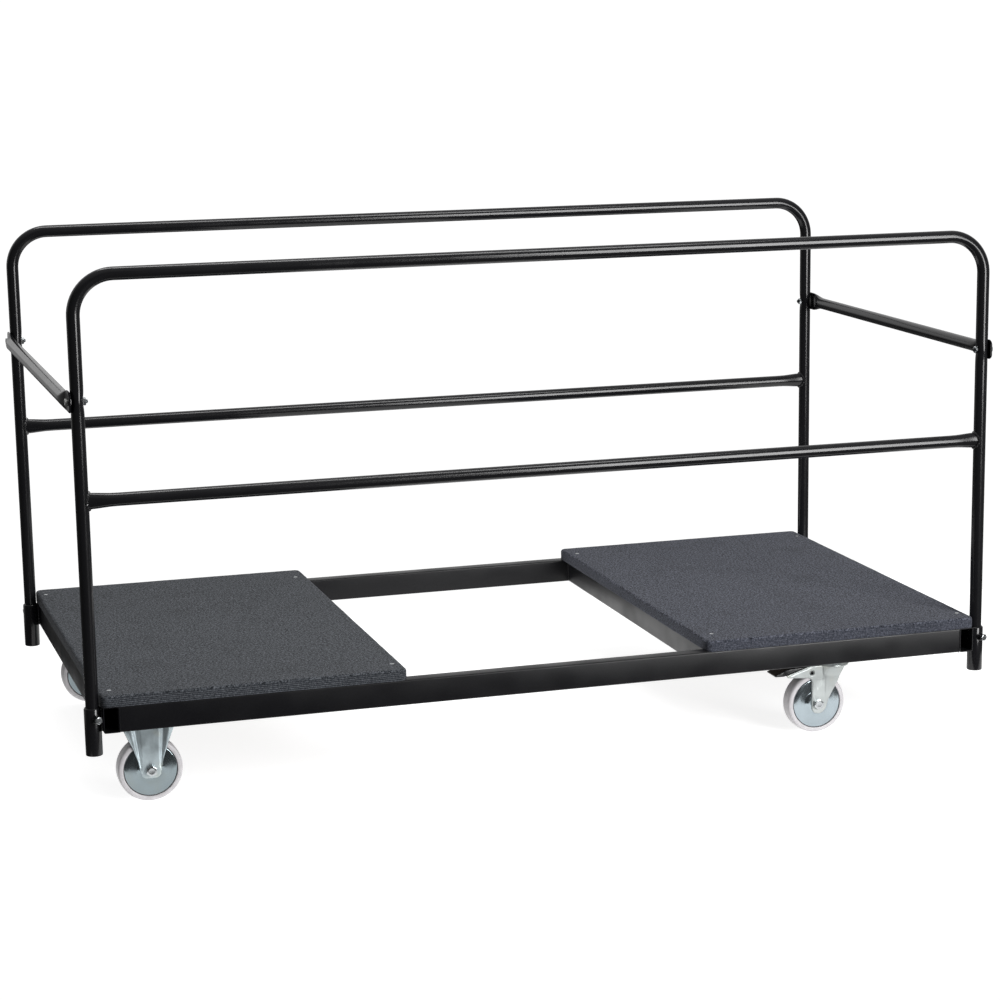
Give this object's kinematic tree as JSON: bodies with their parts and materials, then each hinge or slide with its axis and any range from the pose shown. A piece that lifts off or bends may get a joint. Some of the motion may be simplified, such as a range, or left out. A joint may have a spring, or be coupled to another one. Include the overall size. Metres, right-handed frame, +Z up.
{
  "type": "furniture dolly",
  "caption": "Table dolly with a steel tube base, carpeted end decks, a tube cage around the load, rigid casters at one end and braked swivel casters at the other.",
  "frame": {"origin": "on the floor under the centre of the bounding box", "axes": "+X along the length, from the rigid casters to the swivel casters; +Y to the rear; +Z up"},
  "size_m": [1.8788, 0.9576, 1.0273],
  "materials": {
    "black_paint": "gloss powder coat",
    "zinc": "bright zinc plate",
    "black_enamel": "satin enamel",
    "carpet": "needle-punched carpet",
    "plywood": "plain",
    "grey_tyre": "smooth light grey"
  },
  "bodies": {
    "chassis": {"front_rail": "black_paint", "rear_rail": "black_paint", "left_end_rail": "black_paint", "right_end_rail": "black_paint", "left_cross_rail": "black_paint", "right_cross_rail": "black_paint", "left_caster_channel": "black_paint", "right_caster_channel": "black_paint", "socket_front_left": "black_paint", "socket_front_right": "black_paint", "socket_rear_left": "black_paint", "socket_rear_right": "black_paint", "set_bolt_front_left": "zinc", "set_bolt_front_right": "zinc", "set_bolt_rear_left": "zinc", "set_bolt_rear_right": "zinc", "front_hoop": "black_paint", "rear_hoop": "black_paint", "front_mid_rail": "black_paint", "rear_mid_rail": "black_paint", "left_end_bar": "black_paint", "right_end_bar": "black_paint", "end_bar_bolt_front_left": "zinc", "end_bar_bolt_front_right": "zinc", "end_bar_bolt_rear_left": "zinc", "end_bar_bolt_rear_right": "zinc", "end_bar_nut_front_left": "zinc", "end_bar_nut_front_right": "zinc", "end_bar_nut_rear_left": "zinc", "end_bar_nut_rear_right": "zinc", "left_deck_board": "plywood", "right_deck_board": "plywood", "left_deck_carpet": "carpet", "right_deck_carpet": "carpet", "rigid_fork_front_left": "zinc", "rigid_fork_rear_left": "zinc", "axle_bolt_front_left": "zinc", "axle_bolt_rear_left": "zinc", "axle_nut_front_left": "zinc", "axle_nut_rear_left": "zinc", "swivel_plate_front_right": "zinc", "swivel_plate_rear_right": "zinc", "kingpin_front_right": "zinc", "kingpin_rear_right": "zinc"},
    "wheel_front_left": {"tyre_front_left": "grey_tyre", "wheel_core_front_left": "zinc"},
    "wheel_rear_left": {"tyre_rear_left": "grey_tyre", "wheel_core_rear_left": "zinc"},
    "swivel_front_right": {"swivel_fork_front_right": "zinc", "axle_bolt_front_right": "zinc", "axle_nut_front_right": "zinc"},
    "swivel_rear_right": {"swivel_fork_rear_right": "zinc", "axle_bolt_rear_right": "zinc", "axle_nut_rear_right": "zinc"},
    "wheel_front_right": {"tyre_front_right": "grey_tyre", "wheel_core_front_right": "zinc"},
    "wheel_rear_right": {"tyre_rear_right": "grey_tyre", "wheel_core_rear_right": "zinc"},
    "pedal_front_right": {"brake_pedal_front_right": "black_enamel"},
    "pedal_rear_right": {"brake_pedal_rear_right": "black_enamel"}
  },
  "joints": [
    {"name": "roll_front_left", "type": "hinge", "parent": "chassis", "child": "wheel_front_left", "pos_m": [-0.798, -0.38, 0.0625], "axis": [0, 1, 0], "continuous": true},
    {"name": "roll_rear_left", "type": "hinge", "parent": "chassis", "child": "wheel_rear_left", "pos_m": [-0.798, 0.38, 0.0625], "axis": [0, 1, 0], "continuous": true},
    {"name": "turn_front_right", "type": "hinge", "parent": "chassis", "child": "swivel_front_right", "pos_m": [0.617, -0.38, 0.145], "axis": [0, 0, 1], "continuous": true},
    {"name": "turn_rear_right", "type": "hinge", "parent": "chassis", "child": "swivel_rear_right", "pos_m": [0.617, 0.38, 0.145], "axis": [0, 0, 1], "continuous": true},
    {"name": "roll_front_right", "type": "hinge", "parent": "swivel_front_right", "child": "wheel_front_right", "pos_m": [0.579, -0.38, 0.0625], "axis": [0, 1, 0], "continuous": true},
    {"name": "roll_rear_right", "type": "hinge", "parent": "swivel_rear_right", "child": "wheel_rear_right", "pos_m": [0.579, 0.38, 0.0625], "axis": [0, 1, 0], "continuous": true},
    {"name": "brake_front_right", "type": "hinge", "parent": "swivel_front_right", "child": "pedal_front_right", "pos_m": [0.566, -0.38, 0.1285], "axis": [0, -1, 0], "range_deg": [0, 10]},
    {"name": "brake_rear_right", "type": "hinge", "parent": "swivel_rear_right", "child": "pedal_rear_right", "pos_m": [0.566, 0.38, 0.1285], "axis": [0, -1, 0], "range_deg": [0, 10]}
  ]
}
